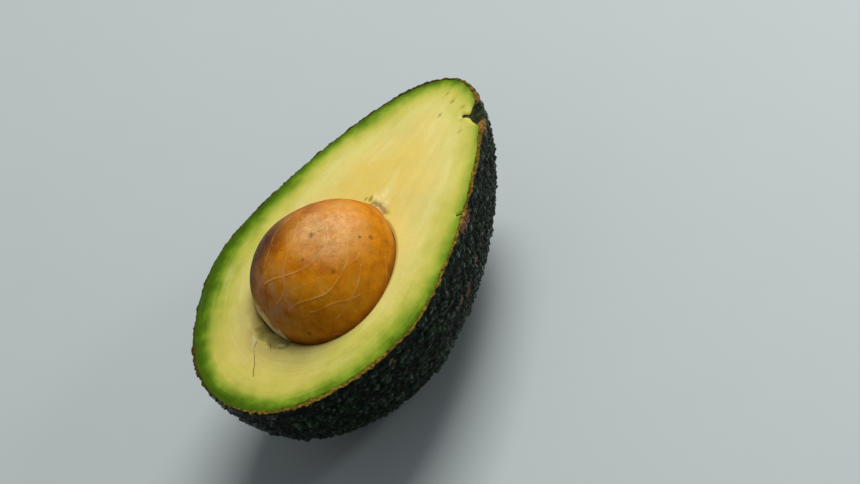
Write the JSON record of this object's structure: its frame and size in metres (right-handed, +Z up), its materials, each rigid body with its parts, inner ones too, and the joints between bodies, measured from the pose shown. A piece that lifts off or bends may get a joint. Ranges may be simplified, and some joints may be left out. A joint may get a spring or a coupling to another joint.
{
  "type": "avocado half",
  "caption": "Half a ripe avocado with dark pebbled skin, green to yellow flesh and its brown seed still seated, lying on its back.",
  "frame": {"origin": "on the ground under the middle of the fruit's length and width, as it lies on its back", "axes": "+X along the cut face to the stem end, +Z up out of the cut face, +Y across the cut face"},
  "size_m": [0.0966, 0.0644, 0.0497],
  "materials": {
    "skin": "waxy, pebbled, satin gloss, with a brown cut rim",
    "flesh": "moist, soft satin, green at the peel and pale yellow inside",
    "seed": "thin papery coat, satin gloss, with pale branching veins"
  },
  "bodies": {
    "root": {"skin": "skin", "flesh": "flesh", "seed": "seed"}
  },
  "joints": []
}
